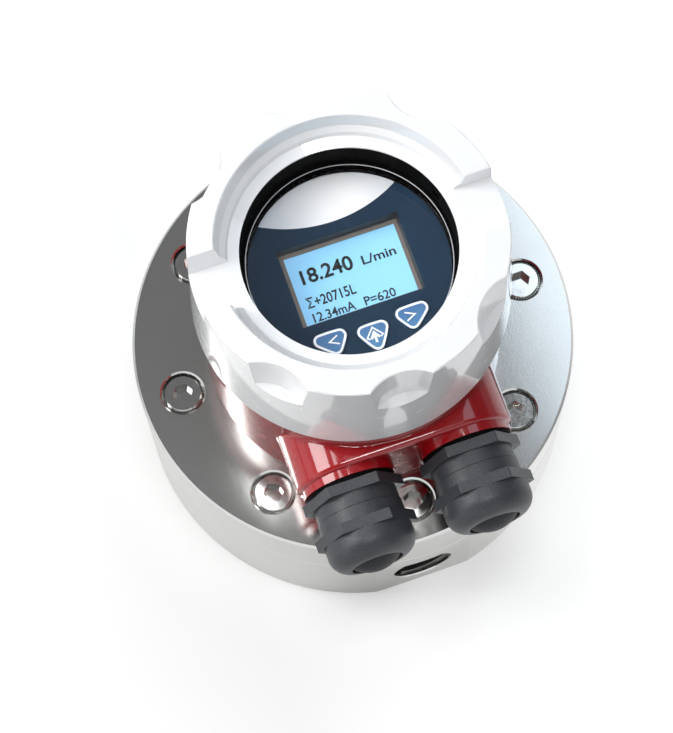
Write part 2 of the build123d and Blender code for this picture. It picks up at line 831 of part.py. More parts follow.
# Window: glass in a black gasket, held from below by a threaded ring
glass_foot_z = glass_top_z - glass_t
gasket_foot_z = glass_foot_z - gasket_lip_t
with BuildPart() as window_gasket:
    with BuildSketch(Plane.XZ):
        with BuildLine():
            Polyline(
                (glass_r - gasket_lip, gasket_foot_z),
                (seat_r - slip_gap, gasket_foot_z),
                (seat_r - slip_gap, seat_top_z),
                (window_r, seat_top_z),
                (window_r - gasket_flare, glass_top_z),
                (glass_r + slip_gap, glass_top_z),
                (glass_r + slip_gap, glass_foot_z),
                (glass_r - gasket_lip, glass_foot_z),
                close=True,
            )
        make_face()
    revolve(axis=Axis.Z)
    with BuildSketch(Plane.YZ.rotated((0, 0, vent_angle)).offset(window_r - vent_start)):
        with Locations((0, vent_z)):
            Circle(vent_r)
    extrude(amount=seat_wall + vent_start, mode=Mode.SUBTRACT)
save(window_gasket, "window_gasket")

with BuildPart() as window_glass:
    with BuildSketch(Plane.XY.offset(glass_foot_z)):
        Circle(glass_r)
    extrude(amount=glass_t)
save(window_glass, "window_glass")

with BuildPart() as gasket_ring:
    with BuildSketch(Plane.XY.offset(gasket_foot_z - ring_t)):
        Circle(seat_r - slip_gap)
        Circle(bezel_r + bezel_room, mode=Mode.SUBTRACT)
    extrude(amount=ring_t)
save(gasket_ring, "gasket_ring")

save(ring_seal(lid_seal_r, lid_seal_cord_r, lid_seal_z), "lid_seal")
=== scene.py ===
import bpy
import bmesh
import json
import math
from mathutils import Matrix, Vector


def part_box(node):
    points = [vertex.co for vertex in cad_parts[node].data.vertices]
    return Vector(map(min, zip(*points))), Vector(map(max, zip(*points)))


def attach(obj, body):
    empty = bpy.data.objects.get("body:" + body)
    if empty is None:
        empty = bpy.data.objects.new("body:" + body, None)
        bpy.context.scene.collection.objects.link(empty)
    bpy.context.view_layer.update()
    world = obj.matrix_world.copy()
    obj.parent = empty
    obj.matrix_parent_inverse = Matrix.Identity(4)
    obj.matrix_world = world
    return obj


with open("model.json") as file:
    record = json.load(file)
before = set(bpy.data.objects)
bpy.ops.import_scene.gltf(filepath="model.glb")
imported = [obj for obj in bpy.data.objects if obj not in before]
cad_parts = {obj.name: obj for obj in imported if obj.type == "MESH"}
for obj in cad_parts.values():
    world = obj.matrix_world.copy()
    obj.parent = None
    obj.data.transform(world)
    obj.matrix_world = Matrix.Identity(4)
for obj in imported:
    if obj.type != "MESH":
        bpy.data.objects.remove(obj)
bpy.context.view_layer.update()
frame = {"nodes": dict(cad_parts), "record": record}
cadNode = frame["nodes"]
mm = 0.001
print("frame loaded,", len(cadNode), "nodes")


def linear(hexColour):
    # sRGB hex to the linear values that the shaders work in
    parts = [int(hexColour[i:i + 2], 16) / 255 for i in (1, 3, 5)]
    return [c / 12.92 if c <= 0.04045 else ((c + 0.055) / 1.055) ** 2.4 for c in parts] + [1.0]


def addNode(tree, kind, values=None, **settings):
    # one node with its settings; a value that is another node's output becomes a link
    new = tree.nodes.new(kind)
    for name, value in settings.items():
        setattr(new, name, value)
    for socket, value in (values or {}).items():
        if isinstance(value, bpy.types.NodeSocket):
            tree.links.new(value, new.inputs[socket])
        else:
            new.inputs[socket].default_value = value
    return new


def startMaterial(name):
    material = bpy.data.materials.new(name)
    material.use_nodes = True
    material.node_tree.nodes.clear()
    coords = addNode(material.node_tree, "ShaderNodeTexCoord")
    return material, material.node_tree, coords.outputs["Object"]


def finished(material, shader):
    addNode(material.node_tree, "ShaderNodeOutputMaterial", {"Surface": shader.outputs[0]})
    return material


noiseSpan = (0.3, 0.7)  # where most values of a noise texture lie


def grains(place, sizeMm, detail):
    # noise inputs for grains that are sizeMm across
    return {"Vector": place, "Scale": 1 / (sizeMm * mm), "Detail": detail}


def grainBump(tree, place, grainMm, depthMm, detail=2.0):
    # fine relief whose grains are grainMm across
    noise = addNode(tree, "ShaderNodeTexNoise", grains(place, grainMm, detail))
    bump = addNode(tree, "ShaderNodeBump", {
        "Height": noise.outputs[0], "Distance": depthMm * mm, "Strength": 1.0,
    })
    return bump.outputs[0]


def mixedColour(tree, place, sizeMm, first, second):
    # colour that drifts between two tones over patches sizeMm across
    noise = addNode(tree, "ShaderNodeTexNoise", grains(place, sizeMm, 3.0))
    ramp = addNode(tree, "ShaderNodeValToRGB", {0: noise.outputs[0]})
    for stop, position, tone in zip(ramp.color_ramp.elements, noiseSpan, (first, second)):
        stop.position = position
        stop.color = linear(tone)
    return ramp.outputs[0]


def driftingRoughness(tree, place, sizeMm, low, high):
    # roughness that drifts from low to high over patches sizeMm across
    noise = addNode(tree, "ShaderNodeTexNoise", grains(place, sizeMm, 4.0))
    spread = addNode(tree, "ShaderNodeMapRange", {
        0: noise.outputs[0], 1: noiseSpan[0], 2: noiseSpan[1], 3: low, 4: high,
    })
    return spread.outputs[0]


def facedStainless():
    # 1.4404 bar, faced and polished: a grey mirror that a fine grain blurs and makes sparkle
    material, tree, place = startMaterial("facedStainless")
    shader = addNode(tree, "ShaderNodeBsdfPrincipled", {
        "Base Color": mixedColour(tree, place, 12, "#cececb", "#d1d1ce"),
        "Metallic": 1.0,
        "Roughness": driftingRoughness(tree, place, 0.5, 0.11, 0.18),
        "Normal": grainBump(tree, place, 0.45, 0.006),
    })
    return finished(material, shader)


def threadedStainlessPaintedShade():
    # thread flanks as the tap left them: rougher than the faced metal, and darker as painted shade
    # inside the port bores
    material, tree, place = startMaterial("threadedStainlessPaintedShade")
    shader = addNode(tree, "ShaderNodeBsdfPrincipled", {
        "Base Color": mixedColour(tree, place, 2, "#6d6d6b", "#7b7b79"),
        "Metallic": 1.0,
        "Roughness": driftingRoughness(tree, place, 0.6, 0.28, 0.4),
        "Normal": grainBump(tree, place, 0.4, 0.006),
    })
    return finished(material, shader)


def brightSteel():
    # A2 screw stock, cold headed: near mirror
    material, tree, place = startMaterial("brightSteel")
    shader = addNode(tree, "ShaderNodeBsdfPrincipled", {
        "Base Color": mixedColour(tree, place, 3, "#cfcfcc", "#d9d9d6"),
        "Metallic": 1.0,
        "Roughness": driftingRoughness(tree, place, 1.5, 0.06, 0.12),
        "Normal": grainBump(tree, place, 1.2, 0.003),
    })
    return finished(material, shader)


def groundSteel():
    # case-hardened gear steel, ground: satin, darker than stainless
    material, tree, place = startMaterial("groundSteel")
    shader = addNode(tree, "ShaderNodeBsdfPrincipled", {
        "Base Color": mixedColour(tree, place, 5, "#8f9092", "#a2a3a5"),
        "Metallic": 1.0,
        "Roughness": driftingRoughness(tree, place, 0.6, 0.25, 0.38),
        "Normal": grainBump(tree, place, 0.3, 0.003),
    })
    return finished(material, shader)


def castBronze():
    # leaded tin bronze, turned: warm and satin
    material, tree, place = startMaterial("castBronze")
    shader = addNode(tree, "ShaderNodeBsdfPrincipled", {
        "Base Color": mixedColour(tree, place, 2, "#a9763f", "#bd8a50"),
        "Metallic": 1.0,
        "Roughness": driftingRoughness(tree, place, 0.8, 0.28, 0.42),
        "Normal": grainBump(tree, place, 0.4, 0.004),
    })
    return finished(material, shader)


def nickelPlate():
    # nickel on brass: bright with a yellow cast
    material, tree, place = startMaterial("nickelPlate")
    shader = addNode(tree, "ShaderNodeBsdfPrincipled", {
        "Base Color": mixedColour(tree, place, 4, "#bcb6a4", "#cdc7b5"),
        "Metallic": 1.0,
        "Roughness": driftingRoughness(tree, place, 1.0, 0.16, 0.24),
        "Normal": grainBump(tree, place, 0.6, 0.003),
    })
    return finished(material, shader)


def turnedBrass():
    # free-cutting brass, turned: yellow and satin
    material, tree, place = startMaterial("turnedBrass")
    shader = addNode(tree, "ShaderNodeBsdfPrincipled", {
        "Base Color": mixedColour(tree, place, 3, "#c9a253", "#d8b367"),
        "Metallic": 1.0,
        "Roughness": driftingRoughness(tree, place, 0.8, 0.18, 0.3),
        "Normal": grainBump(tree, place, 0.4, 0.003),
    })
    return finished(material, shader)


def redBakedLacquer():
    # two-coat baked lacquer over die-cast aluminium: deep red under a clear coat, slight
    # orange peel
    material, tree, place = startMaterial("redBakedLacquer")
    shader = addNode(tree, "ShaderNodeBsdfPrincipled", {
        "Base Color": mixedColour(tree, place, 14, "#9c0d17", "#a6111b"),
        "Roughness": driftingRoughness(tree, place, 4, 0.2, 0.28),
        "Normal": grainBump(tree, place, 3.0, 0.003, detail=1.0),
        "Specular IOR Level": 0.2,
        "Coat Weight": 1.0,
        "Coat Roughness": 0.02,
    })
    return finished(material, shader)


def whiteBakedLacquer():
    # the same lacquer in cool white
    material, tree, place = startMaterial("whiteBakedLacquer")
    shader = addNode(tree, "ShaderNodeBsdfPrincipled", {
        "Base Color": mixedColour(tree, place, 16, "#f8f9fb", "#fbfcfd"),
        "Roughness": driftingRoughness(tree, place, 4, 0.2, 0.28),
        "Normal": grainBump(tree, place, 3.0, 0.002, detail=1.0),
        "Specular IOR Level": 0.2,
        "Coat Weight": 1.0,
        "Coat Roughness": 0.02,
        "Coat IOR": 1.65,
    })
    return finished(material, shader)


def sparkBump(tree, place, grainMm, depthMm, strength):
    # eroded mould surface: fine round grains
    cells = addNode(tree, "ShaderNodeTexVoronoi", {
        "Vector": place, "Scale": 1 / (grainMm * mm),
    }, feature="SMOOTH_F1")
    bump = addNode(tree, "ShaderNodeBump", {
        "Height": cells.outputs[0], "Distance": depthMm * mm, "Strength": strength,
    })
    return bump.outputs[0]


def mouldedPolyamide():
    # glass-filled PA6, spark-eroded mould: dark grey with a dull sparkle
    material, tree, place = startMaterial("mouldedPolyamide")
    shader = addNode(tree, "ShaderNodeBsdfPrincipled", {
        "Base Color": mixedColour(tree, place, 0.6, "#34363b", "#404247"),
        "Roughness": driftingRoughness(tree, place, 0.5, 0.36, 0.5),
        "Normal": sparkBump(tree, place, 0.5, 0.06, 0.8),
    })
    return finished(material, shader)


def mouldedNeoprene():
    # moulded plug rubber: charcoal, matt
    material, tree, place = startMaterial("mouldedNeoprene")
    shader = addNode(tree, "ShaderNodeBsdfPrincipled", {
        "Base Color": mixedColour(tree, place, 1.5, "#212225", "#28292c"),
        "Roughness": driftingRoughness(tree, place, 0.8, 0.5, 0.62),
        "Specular IOR Level": 0.3,
        "Normal": grainBump(tree, place, 0.6, 0.01),
    })
    return finished(material, shader)


def nitrileRubber():
    # seal rubber: near black, dull
    material, tree, place = startMaterial("nitrileRubber")
    shader = addNode(tree, "ShaderNodeBsdfPrincipled", {
        "Base Color": mixedColour(tree, place, 2, "#0b0b0b", "#111112"),
        "Roughness": driftingRoughness(tree, place, 1, 0.5, 0.65),
        "Specular IOR Level": 0.02,
        "Normal": grainBump(tree, place, 0.5, 0.008),
    })
    return finished(material, shader)


def blackPolycarbonate():
    # moulded frame and switch cases: black with a soft sheen
    material, tree, place = startMaterial("blackPolycarbonate")
    shader = addNode(tree, "ShaderNodeBsdfPrincipled", {
        "Base Color": mixedColour(tree, place, 3, "#17181a", "#1f2023"),
        "Roughness": driftingRoughness(tree, place, 0.8, 0.35, 0.5),
        "Normal": grainBump(tree, place, 0.4, 0.01),
    })
    return finished(material, shader)


def frameAbs():
    # display frame, ABS, brown grey
    material, tree, place = startMaterial("frameAbs")
    shader = addNode(tree, "ShaderNodeBsdfPrincipled", {
        "Base Color": mixedColour(tree, place, 3, "#6f6660", "#7b726b"),
        "Roughness": driftingRoughness(tree, place, 0.8, 0.3, 0.45),
        "Normal": grainBump(tree, place, 0.4, 0.006),
    })
    return finished(material, shader)


def solderMask():
    # green lacquer over woven glass and epoxy: smooth, half glossy
    material, tree, place = startMaterial("solderMask")
    shader = addNode(tree, "ShaderNodeBsdfPrincipled", {
        "Base Color": mixedColour(tree, place, 5, "#175a33", "#1e6a3d"),
        "Roughness": driftingRoughness(tree, place, 1, 0.3, 0.45),
        "Normal": grainBump(tree, place, 0.8, 0.01),
    })
    return finished(material, shader)


def terminalPolyamide():
    # moulded PA66: leaf green, nearly matt
    material, tree, place = startMaterial("terminalPolyamide")
    shader = addNode(tree, "ShaderNodeBsdfPrincipled", {
        "Base Color": mixedColour(tree, place, 3, "#2f8a4c", "#389657"),
        "Roughness": driftingRoughness(tree, place, 1, 0.4, 0.5),
        "Normal": grainBump(tree, place, 0.4, 0.01),
    })
    return finished(material, shader)


glassEdge = {
    "bevelStart": 32.35 * mm,
    "bevelEnd": 32.6 * mm,
    "flatFrom": 0.5,  # a face whose normal rises less than this is the disc's side
}


def toughenedGlass():
    # clear borosilicate disc: shadow rays pass so that the panel under it is lit, its side is
    # ground and blackened by the gasket, and a thin frosted bevel catches the light
    material, tree, place = startMaterial("toughenedGlass")
    glass = addNode(tree, "ShaderNodeBsdfPrincipled", {
        "Base Color": linear("#fcfcfc"),
        "Roughness": 0.0,
        "IOR": 1.5,
        "Transmission Weight": 1.0,
    })
    clear = addNode(tree, "ShaderNodeBsdfTransparent", {"Color": linear("#f6f6f6")})
    path = addNode(tree, "ShaderNodeLightPath")
    lit = addNode(tree, "ShaderNodeMixShader", {
        0: path.outputs["Is Shadow Ray"], 1: glass.outputs[0], 2: clear.outputs[0],
    })
    surface = addNode(tree, "ShaderNodeNewGeometry")
    facing = addNode(tree, "ShaderNodeSeparateXYZ", {0: surface.outputs["Normal"]})
    flatness = addNode(tree, "ShaderNodeMath", {0: facing.outputs[2]}, operation="ABSOLUTE")
    side = addNode(tree, "ShaderNodeMath", {0: flatness.outputs[0], 1: glassEdge["flatFrom"]},
                   operation="LESS_THAN")
    ground = addNode(tree, "ShaderNodeBsdfDiffuse", {0: linear("#0c0d0e")})
    sided = addNode(tree, "ShaderNodeMixShader", {
        0: side.outputs[0], 1: lit.outputs[0], 2: ground.outputs[0],
    })
    flat = addNode(tree, "ShaderNodeVectorMath", {0: place, 1: (1, 1, 0)}, operation="MULTIPLY")
    away = addNode(tree, "ShaderNodeVectorMath", {0: flat.outputs[0]}, operation="LENGTH")
    past = addNode(tree, "ShaderNodeMath", {0: away.outputs["Value"], 1: glassEdge["bevelStart"]},
                   operation="GREATER_THAN")
    within = addNode(tree, "ShaderNodeMath", {0: away.outputs["Value"], 1: glassEdge["bevelEnd"]},
                     operation="LESS_THAN")
    upper = addNode(tree, "ShaderNodeMath", {0: facing.outputs[2], 1: glassEdge["flatFrom"]},
                    operation="GREATER_THAN")
    band = addNode(tree, "ShaderNodeMath", {0: past.outputs[0], 1: within.outputs[0]},
                   operation="MULTIPLY")
    bevel = addNode(tree, "ShaderNodeMath", {0: band.outputs[0], 1: upper.outputs[0]},
                    operation="MULTIPLY")
    frost = addNode(tree, "ShaderNodeBsdfDiffuse", {0: linear("#e4e8ec")})
    whole = addNode(tree, "ShaderNodeMixShader", {
        0: bevel.outputs[0], 1: sided.outputs[0], 2: frost.outputs[0],
    })
    return finished(material, whole)


printedPanel = {
    "navy": "#213649",
    "navyDeep": "#1c3045",
    # silver tones of a painted sheen: painted highlight at its core, painted shade at its radius
    "silverPaintedSheen": "#fafbfc",
    "silverPaintedShade": "#c3cad6",
    "silverMetallic": 0.25,
    "paintedSheenCentre": (4 * mm, 20 * mm, 0),
    "paintedSheenCore": 6 * mm,
    "paintedSheenRadius": 28 * mm,
    "arcCentreY": 62.2 * mm,  # the silver field is what lies inside this circle
    "arcRadius": 45.7 * mm,
    "flakeMm": 0.35,  # coarser than real flakes, so that they show
    "flakeDepth": 0.012 * mm,
    "flakeStrength": 0.7,
}


def printedPolyesterFilm():
    # polyester film printed from behind: navy, with a silver field above an arc; the silver carries
    # a painted sheen, brightest near one spot and fading to painted shade away from it
    material, tree, place = startMaterial("printedPolyesterFilm")
    flat = addNode(tree, "ShaderNodeVectorMath", {0: place, 1: (1, 1, 0)}, operation="MULTIPLY")
    away = addNode(tree, "ShaderNodeVectorMath", {
        0: flat.outputs[0], 1: (0, printedPanel["arcCentreY"], 0),
    }, operation="DISTANCE")
    inside = addNode(tree, "ShaderNodeMath", {
        0: away.outputs["Value"], 1: printedPanel["arcRadius"],
    }, operation="LESS_THAN")
    # painted sheen: the silver is lightest near one spot and darker away from it, as painted shade
    fromPaintedSheen = addNode(tree, "ShaderNodeVectorMath", {
        0: flat.outputs[0], 1: printedPanel["paintedSheenCentre"],
    }, operation="DISTANCE")
    shade = addNode(tree, "ShaderNodeMapRange", {
        0: fromPaintedSheen.outputs["Value"], 1: printedPanel["paintedSheenRadius"], 2: printedPanel["paintedSheenCore"],
    })
    silver = addNode(tree, "ShaderNodeValToRGB", {0: shade.outputs[0]})
    silver.color_ramp.elements[0].color = linear(printedPanel["silverPaintedShade"])
    silver.color_ramp.elements[1].color = linear(printedPanel["silverPaintedSheen"])
    navy = mixedColour(tree, place, 20, printedPanel["navyDeep"], printedPanel["navy"])
    ink = addNode(tree, "ShaderNodeMix", {0: inside.outputs[0], 6: navy, 7: silver.outputs[0]},
                  data_type="RGBA")
    metal = addNode(tree, "ShaderNodeMath", {
        0: inside.outputs[0], 1: printedPanel["silverMetallic"],
    }, operation="MULTIPLY")
    flake = addNode(tree, "ShaderNodeTexNoise", grains(place, printedPanel["flakeMm"], 1.0))
    sparkle = addNode(tree, "ShaderNodeMath", {0: flake.outputs[0], 1: inside.outputs[0]},
                      operation="MULTIPLY")
    bump = addNode(tree, "ShaderNodeBump", {
        "Height": sparkle.outputs[0], "Distance": printedPanel["flakeDepth"],
        "Strength": printedPanel["flakeStrength"],
    })
    shader = addNode(tree, "ShaderNodeBsdfPrincipled", {
        "Base Color": ink.outputs[2],
        "Metallic": metal.outputs[0],
        "Roughness": driftingRoughness(tree, place, 0.5, 0.3, 0.42),
        "Specular IOR Level": 0.0,
        "Normal": bump.outputs[0],
    })
    return finished(material, shader)


keyTint = {
    "light": "#4580b0",
    "deep": "#30659a",
    "lightY": -28 * mm,
    "deepY": -18 * mm,
}


def keyFilm():
    # blue print under a clear film, darker towards the display
    material, tree, place = startMaterial("keyFilm")
    split = addNode(tree, "ShaderNodeSeparateXYZ", {0: place})
    ramp = addNode(tree, "ShaderNodeMapRange", {
        0: split.outputs[1], 1: keyTint["lightY"], 2: keyTint["deepY"],
    })
    tone = addNode(tree, "ShaderNodeValToRGB", {0: ramp.outputs[0]})
    tone.color_ramp.elements[0].color = linear(keyTint["light"])
    tone.color_ramp.elements[1].color = linear(keyTint["deep"])
    shader = addNode(tree, "ShaderNodeBsdfPrincipled", {
        "Base Color": tone.outputs[0],
        "Roughness": driftingRoughness(tree, place, 1, 0.3, 0.4),
        "Normal": grainBump(tree, place, 0.5, 0.004),
    })
    return finished(material, shader)


def whiteInk():
    # screen-printed ink: opaque white, nearly matt
    material, tree, place = startMaterial("whiteInk")
    shader = addNode(tree, "ShaderNodeBsdfPrincipled", {
        "Base Color": mixedColour(tree, place, 2, "#f1f3f6", "#f8f9fb"),
        "Roughness": driftingRoughness(tree, place, 1, 0.35, 0.45),
    })
    return finished(material, shader)


def blackSegments():
    # liquid crystal that is switched on: warm near black
    material, tree, place = startMaterial("blackSegments")
    shader = addNode(tree, "ShaderNodeBsdfPrincipled", {
        "Base Color": mixedColour(tree, place, 2, "#141214", "#1b191b"),
        "Roughness": driftingRoughness(tree, place, 1, 0.3, 0.4),
    })
    return finished(material, shader)


# screen tones: painted shade at the edges, the middle tone, where the painted shade starts and
# ends, and the painted glow's strength
paintedGlowAndShade = {
    "edge": "#8ccaf4",
    "middle": "#92d2f6",
    "shadeFromLeft": (-18 * mm, -9 * mm),
    "shadeFromTop": (12 * mm, 6 * mm),
    "strength": 0.2,
}


def paintedGlowCrystal():
    # light blue screen behind the display's glass with a painted glow, and painted shade towards
    # its left and top edges
    material, tree, place = startMaterial("paintedGlowCrystal")
    split = addNode(tree, "ShaderNodeSeparateXYZ", {0: place})
    paintedShades = []
    for axis, key in enumerate(("shadeFromLeft", "shadeFromTop")):
        start, end = paintedGlowAndShade[key]
        paintedShade = addNode(tree, "ShaderNodeMapRange", {0: split.outputs[axis], 1: start, 2: end})
        paintedShades.append(paintedShade.outputs[0])
    both = addNode(tree, "ShaderNodeMath", {0: paintedShades[0], 1: paintedShades[1]}, operation="MULTIPLY")
    tone = addNode(tree, "ShaderNodeValToRGB", {0: both.outputs[0]})
    tone.color_ramp.elements[0].color = linear(paintedGlowAndShade["edge"])
    tone.color_ramp.elements[1].color = linear(paintedGlowAndShade["middle"])
    shader = addNode(tree, "ShaderNodeBsdfPrincipled", {
        "Base Color": tone.outputs[0],
        "Roughness": driftingRoughness(tree, place, 1, 0.15, 0.22),
        "Emission Color": tone.outputs[0],
        "Emission Strength": paintedGlowAndShade["strength"],
    })
    return finished(material, shader)


finish = {
    "stainless": facedStainless(),
    "screw_steel": brightSteel(),
    "gear_steel": groundSteel(),
    "bronze": castBronze(),
    "nickel_brass": nickelPlate(),
    "brass": turnedBrass(),
    "red_paint": redBakedLacquer(),
    "white_paint": whiteBakedLacquer(),
    "gland_nylon": mouldedPolyamide(),
    "gland_rubber": mouldedNeoprene(),
    "rubber": nitrileRubber(),
    "gasket_black": nitrileRubber(),
    "clear_glass": toughenedGlass(),
    "circuit_board": solderMask(),
    "terminal_green": terminalPolyamide(),
    "display_frame": frameAbs(),
    "black_plastic": blackPolycarbonate(),
    "navy_panel": printedPolyesterFilm(),
    "key_blue": keyFilm(),
}
threadSteelPaintedShade = threadedStainlessPaintedShade()
inkWhite = whiteInk()
segments = blackSegments()
paintedGlowScreen = paintedGlowCrystal()

for row in frame["record"]["subparts"]:
    carried = cadNode[row["node"]]
    carried.data.materials.clear()
    carried.data.materials.append(finish[row["material_slot"]])
print("materials done")


def linked(name, data):
    new = bpy.data.objects.new(name, data)
    bpy.context.scene.collection.objects.link(new)
    return new


def plainMesh(piece):
    # the mesh that the piece's letters or modifiers give
    bpy.context.view_layer.update()
    seenAs = piece.evaluated_get(bpy.context.evaluated_depsgraph_get())
    return bpy.data.meshes.new_from_object(seenAs)


def settle(piece, body):
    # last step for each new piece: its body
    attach(piece, body)


def newPiece(name, build, material):
    mesh = bpy.data.meshes.new(name)
    shape = bmesh.new()
    build(shape)
    bmesh.ops.recalc_face_normals(shape, faces=shape.faces)
    shape.to_mesh(mesh)
    shape.free()
    mesh.materials.append(material)
    return linked(name, mesh)


def plate(shape, outline, foot, top):
    # closed plate over an outline that runs anticlockwise
    lower = [shape.verts.new((x, y, foot)) for x, y in outline]
    upper = [shape.verts.new((x, y, top)) for x, y in outline]
    shape.faces.new(lower[::-1])
    shape.faces.new(upper)
    for i in range(len(outline)):
        j = (i + 1) % len(outline)
        shape.faces.new((lower[i], lower[j], upper[j], upper[i]))


displayPrint = {
    "depth": 0.45 * mm,  # below the top of the module
    "thickness": 0.03 * mm,
    "capitalShare": 0.73,  # height of the font's capitals at size 1
    "rows": [
        # words, left, foot, capital height (mm), stroke growth (share of the letter), width (mm)
        ("18.240", -15.2, 1.2, 4.9, 0.022, 17.1),
        ("L/min", 4.9, 1.3, 3.1, 0.018, 11.2),
        ("Σ+20715L", -16.2, -6.9, 3.5, 0.018, 16.1),
        ("12.34mA", -15.8, -11.9, 3.15, 0.016, 13.9),
        ("P=620", 1.2, -11.8, 3.0, 0.016, 10.3),
    ],
}


def displayText():
    lowest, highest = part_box("lcd_module")
    screenZ = highest[2] - displayPrint["depth"]
    shape = bmesh.new()
    for words, left, foot, height, growth, width in displayPrint["rows"]:
        curve = bpy.data.curves.new("row", "FONT")
        curve.body = words
        curve.size = 1.0
        curve.offset = growth
        letters = linked("row", curve)
        row = plainMesh(letters)
        bpy.data.objects.remove(letters)
        start = min(v.co.x for v in row.vertices)
        end = max(v.co.x for v in row.vertices)
        wide = width * mm / (end - start)
        tall = height * mm / displayPrint["capitalShare"]
        for v in row.vertices:
            v.co = (left * mm + (v.co.x - start) * wide, foot * mm + v.co.y * tall, screenZ)
        shape.from_mesh(row)
    mesh = bpy.data.meshes.new("display_text")
    shape.to_mesh(mesh)
    shape.free()
    mesh.materials.append(segments)
    piece = linked("display_text", mesh)
    thick = piece.modifiers.new("thick", "SOLIDIFY")
    thick.thickness = displayPrint["thickness"]
    thick.offset = 0
    settle(piece, "meter")


displayText()

displayScreen = {
    "inset": 2.9 * mm,
    "depth": 0.5 * mm,  # below the top of the module
    "thickness": 0.03 * mm,
}


def displayGlass():
    lowest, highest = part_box("lcd_module")
    inset = displayScreen["inset"]
    foot = highest[2] - displayScreen["depth"]
    top = foot + displayScreen["thickness"]
    corners = [
        (lowest[0] + inset, lowest[1] + inset), (highest[0] - inset, lowest[1] + inset),
        (highest[0] - inset, highest[1] - inset), (lowest[0] + inset, highest[1] - inset),
    ]
    piece = newPiece("display_screen", lambda shape: plate(shape, corners, foot, top), paintedGlowScreen)
    settle(piece, "meter")


displayGlass()
print("display done")

keyPrint = {
    "edge": 0.12 * mm,
    "ringWidth": 0.72 * mm,
    "stroke": 0.46 * mm,
    "sunk": 0.01 * mm,
    "raised": 0.03 * mm,
    "outlineDepth": 0.05 * mm,  # corners of the key this close to its top give its outline
    "signShift": 0.9 * mm,  # of the outer keys' signs, towards the middle key
    # signs in millimetres from the middle of the key
    "chevron": [(1.5, 1.3), (-1.5, -0.15), (1.5, -1.6)],
    "roof": [(-1.75, -1.35), (-2.6, -0.75), (0, 2.3), (2.6, -0.75), (1.75, -1.35)],
    "arrow": [
        (-0.38, -2.75), (0.38, -2.75), (0.38, -0.85), (1.15, -1.6), (1.65, -1.1), (0, 1.2),
        (-1.65, -1.1), (-1.15, -1.6), (-0.38, -0.85),
    ],
    # which signs each key carries, and 1 or -1 for their direction
    "signs": {
        "key_left": (["chevron"], 1),
        "key_up": (["roof", "arrow"], 1),
        "key_right": (["chevron"], -1),
    },
}


def convexOutline(points):
    # outer loop of flat points, anticlockwise
    points = sorted(set(points))
    loop = []
    for ordered in (points, points[::-1]):
        chain = []
        for p in ordered:
            while len(chain) > 1 and ((chain[-1][0] - chain[-2][0]) * (p[1] - chain[-2][1])
                                      - (chain[-1][1] - chain[-2][1]) * (p[0] - chain[-2][0])) <= 0:
                chain.pop()
            chain.append(p)
        loop += chain[:-1]
    return loop


def shrunk(outline, amount):
    # convex anticlockwise loop moved inwards
    moved = []
    for i, here in enumerate(outline):
        before = Vector(here) - Vector(outline[i - 1])
        after = Vector(outline[(i + 1) % len(outline)]) - Vector(here)
        inwards = (Vector((-before.y, before.x)).normalized()
                   + Vector((-after.y, after.x)).normalized())
        moved.append(tuple(Vector(here) + inwards * (2 * amount / inwards.length_squared)))
    return moved


def strokeOutline(line, width):
    # closed outline round a bent line, corners mitred
    sides = []
    for sign in (1, -1):
        side = []
        for i, here in enumerate(line):
            before = Vector(here) - Vector(line[i - 1]) if i else Vector(line[1]) - Vector(here)
            after = Vector(line[i + 1]) - Vector(here) if i < len(line) - 1 else before
            across = (Vector((before.y, -before.x)).normalized()
                      + Vector((after.y, -after.x)).normalized())
            side.append(tuple(Vector(here) + across * (sign * width / across.length_squared)))
        sides.append(side)
    return sides[0] + sides[1][::-1]


def keyPrints():
    # white rim and sign on each key, printed on its film
    for keyName, (signs, direction) in keyPrint["signs"].items():
        lowest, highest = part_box(keyName)
        top = highest[2]
        key = cadNode[keyName]
        corners = [key.matrix_world @ v.co for v in key.data.vertices]
        rim = convexOutline([(round(c.x, 7), round(c.y, 7))
                             for c in corners if c.z > top - keyPrint["outlineDepth"]])
        outer = shrunk(rim, keyPrint["edge"])
        inner = shrunk(rim, keyPrint["edge"] + keyPrint["ringWidth"])
        middle = ((lowest[0] + highest[0]) / 2, sum(p[1] for p in rim) / len(rim))
        if keyName != "key_up":
            middle = (middle[0] - math.copysign(keyPrint["signShift"], middle[0]), middle[1])
        foot, roof = top - keyPrint["sunk"], top + keyPrint["raised"]

        def build(shape):
            loops = [[shape.verts.new((x, y, z)) for x, y in loop]
                     for loop, z in ((outer, foot), (outer, roof), (inner, roof), (inner, foot))]
            for i in range(len(rim)):
                j = (i + 1) % len(rim)
                for first, second in zip(loops, loops[1:] + loops[:1]):
                    shape.faces.new((first[i], first[j], second[j], second[i]))
            for sign in signs:
                line = [(middle[0] + direction * x * mm, middle[1] + y * mm)
                        for x, y in keyPrint[sign]]
                if sign != "arrow":
                    line = strokeOutline(line, keyPrint["stroke"])
                plate(shape, line, foot, roof)

        settle(newPiece(keyName + "_print", build, inkWhite), keyName)


keyPrints()
print("key prints done")

weldGap = 0.001 * mm


def startTree(name, inputs):
    # geometry tree with named inputs and one mesh out
    tree = bpy.data.node_groups.new(name, "GeometryNodeTree")
    for label, kind in inputs.items():
        tree.interface.new_socket(label, in_out="INPUT", socket_type="NodeSocket" + kind)
    tree.interface.new_socket("Mesh", in_out="OUTPUT", socket_type="NodeSocketGeometry")
    return tree, addNode(tree, "NodeGroupInput").outputs


def endTree(tree, geometry, material):
    real = addNode(tree, "GeometryNodeRealizeInstances", {0: geometry})
    dressed = addNode(tree, "GeometryNodeSetMaterial", {
        "Geometry": real.outputs[0], "Material": material,
    })
    addNode(tree, "NodeGroupOutput", {0: dressed.outputs[0]})


